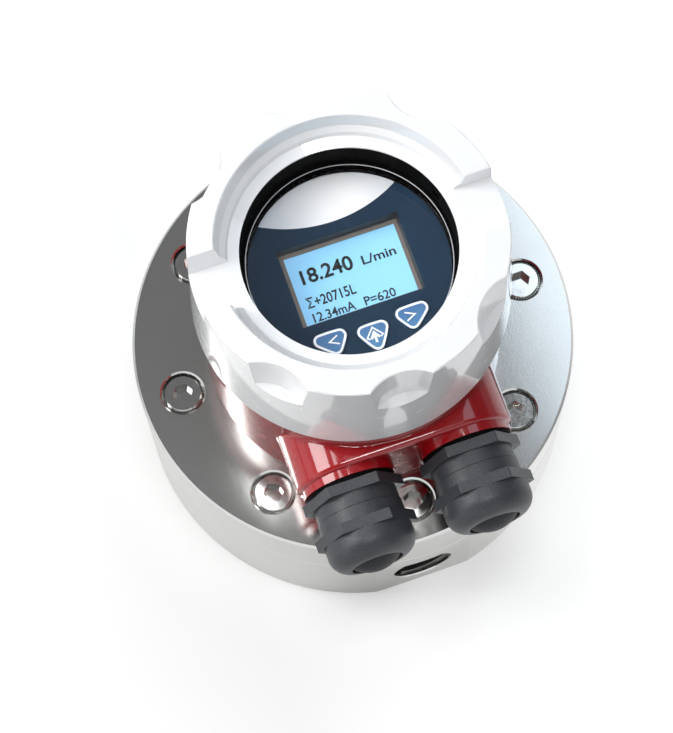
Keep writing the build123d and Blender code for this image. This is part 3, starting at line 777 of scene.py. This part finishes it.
def grown(name, tree, values):
    # the tree's mesh as a plain piece
    piece = linked(name, bpy.data.meshes.new(name))
    maker = piece.modifiers.new("maker", "NODES")
    maker.node_group = tree
    for item in tree.interface.items_tree:
        if item.in_out == "INPUT":
            maker[item.identifier] = values[item.name]
    made = plainMesh(piece)
    piece.modifiers.remove(maker)
    piece.data = made
    shape = bmesh.new()
    shape.from_mesh(made)
    bmesh.ops.remove_doubles(shape, verts=shape.verts, dist=weldGap)
    bmesh.ops.recalc_face_normals(shape, faces=shape.faces)
    shape.to_mesh(made)
    shape.free()
    return piece


threads = {
    # root radius, crest radius, pitch and length in millimetres
    "port": (10.5, 9.32, 1.814, 13.4),
    "neck": (45.9, 46.24, 2.0, 12.0),
    "gland": (12.05, 12.36, 1.5, 8.0),
    "neckFoot": 117.5 * mm,  # above the base
    "glandFoot": 66.2 * mm,  # in front of the middle
    # half widths of the ridge at its root and crest, as shares of the pitch
    "rootShare": 0.46,
    "crestShare": 0.07,
    "stepsPerTurn": 56,
}


def threadTree():
    # ridge with a trapezium section along a right-hand helix
    tree, given = startTree("thread", {
        "Root Radius": "Float", "Crest Radius": "Float", "Pitch": "Float", "Length": "Float",
        "Place": "Vector", "Turn": "Vector", "Material": "Material",
    })
    turns = addNode(tree, "ShaderNodeMath", {0: given["Length"], 1: given["Pitch"]},
                    operation="DIVIDE")
    helix = addNode(tree, "GeometryNodeCurveSpiral", {
        "Resolution": threads["stepsPerTurn"], "Rotations": turns.outputs[0],
        "Start Radius": given["Root Radius"], "End Radius": given["Root Radius"],
        "Height": given["Length"],
    })
    upright = addNode(tree, "GeometryNodeSetCurveNormal", {"Curve": helix.outputs[0]}, mode="Z_UP")
    rise = addNode(tree, "ShaderNodeMath", {0: given["Root Radius"], 1: given["Crest Radius"]},
                   operation="SUBTRACT")
    root, crest = threads["rootShare"], threads["crestShare"]
    corners = {}
    for number, share in enumerate((-root, -crest, crest, root), 1):
        along = addNode(tree, "ShaderNodeMath", {0: given["Pitch"], 1: share}, operation="MULTIPLY")
        place = {"Y": along.outputs[0]}
        if abs(share) == crest:
            place["X"] = rise.outputs[0]
        corners["Point " + str(number)] = addNode(tree, "ShaderNodeCombineXYZ", place).outputs[0]
    section = addNode(tree, "GeometryNodeCurvePrimitiveQuadrilateral", corners, mode="POINTS")
    ridge = addNode(tree, "GeometryNodeCurveToMesh", {
        "Curve": upright.outputs[0], "Profile Curve": section.outputs[0], "Fill Caps": True,
    })
    placed = addNode(tree, "GeometryNodeTransform", {
        "Geometry": ridge.outputs[0], "Translation": given["Place"], "Rotation": given["Turn"],
    })
    endTree(tree, placed.outputs[0], given["Material"])
    return tree


def cutThreads():
    tree = threadTree()
    quarter = math.pi / 2

    def ridge(name, kind, place, turn, slotName):
        root, crest, pitch, length = (v * mm for v in threads[kind])
        piece = grown(name, tree, {
            "Root Radius": root, "Crest Radius": crest, "Pitch": pitch, "Length": length,
            "Place": place, "Turn": turn,
            "Material": threadSteelPaintedShade if kind == "port" else finish[slotName],
        })
        settle(piece, "meter")

    half = threads["port"][3] * mm / 2
    for mount in frame["record"]["mounts"]:
        if mount["name"] in ("inlet_port", "outlet_port"):
            x, y, z = mount["pos_m"]
            outwards = mount["axis"][1]
            ridge(mount["name"] + "_thread", "port", (x, y - outwards * half, z),
                  (-outwards * quarter, 0.0, 0.0), "stainless")
    ridge("neck_thread", "neck", (0.0, 0.0, threads["neckFoot"]), (0.0, 0.0, 0.0), "red_paint")
    for side in ("left", "right"):
        lowest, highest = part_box("gland_body_" + side)
        middle = ((lowest[0] + highest[0]) / 2, -threads["glandFoot"], (lowest[2] + highest[2]) / 2)
        ridge("gland_thread_" + side, "gland", middle, (quarter, 0.0, 0.0), "gland_nylon")


cutThreads()
print("threads done")

knurl = {
    "headRadius": 6.5 * mm,
    "circleRadius": 60.8 * mm,
    "ridgeWidth": 0.42 * mm,
    "ridgeHeight": 6.4 * mm,
    "ridges": 44,
    "screws": 8,
    "depth": 0.9 * mm,  # from the top of the head down to the ridges
}


def knurlTree():
    # a ring of small square ridges set on edge, copied to every screw
    tree, given = startTree("knurl", {
        "Head Radius": "Float", "Circle Radius": "Float", "Ridge Width": "Float",
        "Ridge Height": "Float", "Ridges": "Int", "Screws": "Int", "Middle Height": "Float",
        "Material": "Material",
    })
    size = addNode(tree, "ShaderNodeCombineXYZ", {
        "X": given["Ridge Width"], "Y": given["Ridge Width"], "Z": given["Ridge Height"],
    })
    ridge = addNode(tree, "GeometryNodeMeshCube", {"Size": size.outputs[0]})
    place = addNode(tree, "GeometryNodeInputPosition")
    split = addNode(tree, "ShaderNodeSeparateXYZ", {0: place.outputs[0]})
    angle = addNode(tree, "ShaderNodeMath", {0: split.outputs[1], 1: split.outputs[0]},
                    operation="ARCTAN2")
    onEdge = addNode(tree, "ShaderNodeMath", {0: angle.outputs[0], 1: math.pi / 4}, operation="ADD")
    turn = addNode(tree, "ShaderNodeCombineXYZ", {"Z": onEdge.outputs[0]})
    head = addNode(tree, "GeometryNodeMeshCircle", {
        "Vertices": given["Ridges"], "Radius": given["Head Radius"],
    })
    ring = addNode(tree, "GeometryNodeInstanceOnPoints", {
        "Points": head.outputs[0], "Instance": ridge.outputs[0], "Rotation": turn.outputs[0],
    })
    screws = addNode(tree, "GeometryNodeMeshCircle", {
        "Vertices": given["Screws"], "Radius": given["Circle Radius"],
    })
    rings = addNode(tree, "GeometryNodeInstanceOnPoints", {
        "Points": screws.outputs[0], "Instance": ring.outputs[0],
    })
    height = addNode(tree, "ShaderNodeCombineXYZ", {"Z": given["Middle Height"]})
    raised = addNode(tree, "GeometryNodeTransform", {
        "Geometry": rings.outputs[0], "Translation": height.outputs[0],
    })
    endTree(tree, raised.outputs[0], given["Material"])
    return tree


def knurls():
    lowest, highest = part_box("cover_screws")
    piece = grown("screw_knurls", knurlTree(), {
        "Head Radius": knurl["headRadius"], "Circle Radius": knurl["circleRadius"],
        "Ridge Width": knurl["ridgeWidth"], "Ridge Height": knurl["ridgeHeight"],
        "Ridges": knurl["ridges"], "Screws": knurl["screws"],
        "Middle Height": highest[2] - knurl["depth"] - knurl["ridgeHeight"] / 2,
        "Material": finish["screw_steel"],
    })
    settle(piece, "meter")


knurls()
print("knurls done")

studio = {
    "floorRadius": 6.0,
    "floorSides": 64,
    "floorHeight": -0.2 * mm,
    "floorColour": "#d6d6d5",
    "floorRoughness": 0.8,
    # ramps: from, to, value before, value after
    "glowAcross": (-0.06, 0.08, 0.25, 0.63),
    "glowOutwards": (0.1, 0.16, 0.0, 0.1),
    "glowFar": (0.35, 1.6, 0.0, 0.5),
    "glowInMetal": (-0.02, 0.05, 0.12, 0.6),
    "rimBand": (0.3, 0.34, 0.7, 0.0),
    "rightShade": (0.35, 0.7, 1.0, 0.35),
    # height above the horizon and colour
    "sky": [(0.28, "#d6d8da"), (0.36, "#b9bbbd"), (0.5, "#acadae"), (0.9, "#7a7b7c")],
}


def rampInputs(value, key):
    # Map Range inputs for one of the studio's ramps
    return dict(enumerate((value, *studio[key])))


def studioFloor():
    # paper sweep: its glow keeps it white, and the shadow stays
    material, tree, place = startMaterial("paperSweep")
    path = addNode(tree, "ShaderNodeLightPath")
    seen = addNode(tree, "ShaderNodeMath", {
        0: path.outputs["Is Camera Ray"], 1: path.outputs["Is Transmission Ray"],
    }, operation="MAXIMUM")
    across = addNode(tree, "ShaderNodeSeparateXYZ", {0: place}).outputs[0]
    reach = addNode(tree, "ShaderNodeVectorMath", {0: place}, operation="LENGTH")
    outwards = reach.outputs["Value"]
    glow = {}
    for key, value in (("glowAcross", across), ("glowOutwards", outwards), ("glowFar", outwards),
                       ("glowInMetal", across)):
        glow[key] = addNode(tree, "ShaderNodeMapRange", rampInputs(value, key)).outputs[0]
    near = addNode(tree, "ShaderNodeMath", {0: glow["glowAcross"], 1: glow["glowOutwards"]})
    whole = addNode(tree, "ShaderNodeMath", {0: near.outputs[0], 1: glow["glowFar"]})
    plain = addNode(tree, "ShaderNodeMath", {0: seen.outputs[0], 1: whole.outputs[0]},
                    operation="MULTIPLY")
    strength = addNode(tree, "ShaderNodeMath", {
        0: path.outputs["Is Glossy Ray"], 1: glow["glowInMetal"], 2: plain.outputs[0],
    }, operation="MULTIPLY_ADD")
    shader = addNode(tree, "ShaderNodeBsdfPrincipled", {
        "Base Color": linear(studio["floorColour"]), "Roughness": studio["floorRoughness"],
        "Emission Color": linear("#ffffff"), "Emission Strength": strength.outputs[0],
    })
    step = 2 * math.pi / studio["floorSides"]
    ring = [(studio["floorRadius"] * math.cos(i * step), studio["floorRadius"] * math.sin(i * step))
            for i in range(studio["floorSides"])]

    def build(shape):
        shape.faces.new([shape.verts.new((x, y, studio["floorHeight"])) for x, y in ring])

    newPiece("studio_floor", build, finished(material, shader))


def studioWorld():
    # dim overhead, bright near the horizon; the camera sees plain white
    world = bpy.data.worlds.new("studio")
    bpy.context.scene.world = world
    world.use_nodes = True
    tree = world.node_tree
    tree.nodes.clear()
    coords = addNode(tree, "ShaderNodeTexCoord")
    split = addNode(tree, "ShaderNodeSeparateXYZ", {0: coords.outputs["Generated"]})
    ramp = addNode(tree, "ShaderNodeValToRGB", {0: split.outputs[2]})
    stops = ramp.color_ramp.elements
    for stop, (height, colour) in zip((stops[0], stops[1]), (studio["sky"][0], studio["sky"][-1])):
        stop.position = height
        stop.color = linear(colour)
    for height, colour in studio["sky"][1:-1]:
        stops.new(height).color = linear(colour)
    shade = addNode(tree, "ShaderNodeMapRange", rampInputs(split.outputs[0], "rightShade"))
    # a low white wall that only metal and gloss mirror: it draws the rims
    band = addNode(tree, "ShaderNodeMapRange", rampInputs(split.outputs[2], "rimBand"))
    path = addNode(tree, "ShaderNodeLightPath")
    extra = addNode(tree, "ShaderNodeMath", {
        0: band.outputs[0], 1: path.outputs["Is Glossy Ray"], 2: 1.0,
    }, operation="MULTIPLY_ADD")
    strength = addNode(tree, "ShaderNodeMath", {0: shade.outputs[0], 1: extra.outputs[0]},
                       operation="MULTIPLY")
    room = addNode(tree, "ShaderNodeBackground", {0: ramp.outputs[0], 1: strength.outputs[0]})
    white = addNode(tree, "ShaderNodeBackground", {0: linear("#ffffff"), 1: 1.0})
    # through the glass the white shows only where no surface has turned the ray before
    bounces = addNode(tree, "ShaderNodeMath", {
        0: path.outputs["Diffuse Depth"], 1: path.outputs["Glossy Depth"],
    })
    direct = addNode(tree, "ShaderNodeMath", {0: bounces.outputs[0], 1: 0.5}, operation="LESS_THAN")
    through = addNode(tree, "ShaderNodeMath", {
        0: path.outputs["Is Transmission Ray"], 1: direct.outputs[0],
    }, operation="MULTIPLY")
    seen = addNode(tree, "ShaderNodeMath", {
        0: path.outputs["Is Camera Ray"], 1: through.outputs[0],
    }, operation="MAXIMUM")
    mix = addNode(tree, "ShaderNodeMixShader", {
        0: seen.outputs[0], 1: room.outputs[0], 2: white.outputs[0],
    })
    addNode(tree, "ShaderNodeOutputWorld", {0: mix.outputs[0]})


lamps = {
    # name: place, aim, width, height, watts, colour
    "keyLeft": ((-0.78, 0.36, 0.86), (0, 0, 0.1), 0.45, 0.6, 7.6, "#ffffff"),
    "overheadMid": ((0.0, -0.1, 1.1), (0.0, -0.1, 0), 0.24, 0.16, 2.5, "#ffffff"),
    "overheadLeft": ((-0.31, 0.18, 1.2), (0, 0, 0.1), 0.13, 0.27, 0.7, "#ffffff"),
    "rightBox": ((0.47, 0.52, 1.1), (0.47, 0.52, 0), 0.49, 0.76, 2.1, "#e3f1ff"),
    "leftWindow": ((-1.0, -0.2, 0.6), (0, 0, 0.1), 0.25, 0.4, 0.7, "#fffdf8"),
    "frontTop": ((0.25, -0.95, 0.9), (0, 0, 0.1), 0.5, 0.3, 0.55, "#ffffff"),
}


def studioLamps():
    for name, (place, aim, width, height, watts, colour) in lamps.items():
        lamp = bpy.data.lights.new(name, "AREA")
        lamp.shape = "RECTANGLE"
        lamp.size = width
        lamp.size_y = height
        lamp.energy = watts
        lamp.color = linear(colour)[:3]
        holder = linked(name, lamp)
        holder.location = place
        holder.rotation_euler = (Vector(aim) - Vector(place)).to_track_quat("-Z", "Y").to_euler()


cameraSetup = {
    "place": (-0.07731, -0.25128, 0.86973),
    "azimuth": -15.78,
    "elevation": 72.58,
    "roll": -3.51,
    "lens": 122.2,
    "sensor": 36,
    "nearest": 0.01,
}


def studioCamera():
    a, e, r = (math.radians(cameraSetup[key]) for key in ("azimuth", "elevation", "roll"))
    back = Vector((math.sin(a) * math.cos(e), -math.cos(a) * math.cos(e), math.sin(e)))
    right = Vector((math.cos(a), math.sin(a), 0))
    up = back.cross(right)
    across = right * math.cos(r) + up * math.sin(r)
    upward = up * math.cos(r) - right * math.sin(r)
    lens = bpy.data.cameras.new("camera")
    lens.lens = cameraSetup["lens"]
    lens.sensor_width = cameraSetup["sensor"]
    lens.clip_start = cameraSetup["nearest"]
    camera = linked("camera", lens)
    turned = Matrix((across, upward, back)).transposed().to_4x4()
    camera.matrix_world = Matrix.Translation(cameraSetup["place"]) @ turned
    bpy.context.scene.camera = camera


studioFloor()
studioWorld()
studioLamps()
studioCamera()
bpy.context.scene.view_settings.view_transform = "Standard"
print("studio done")

bpy.context.view_layer.update()
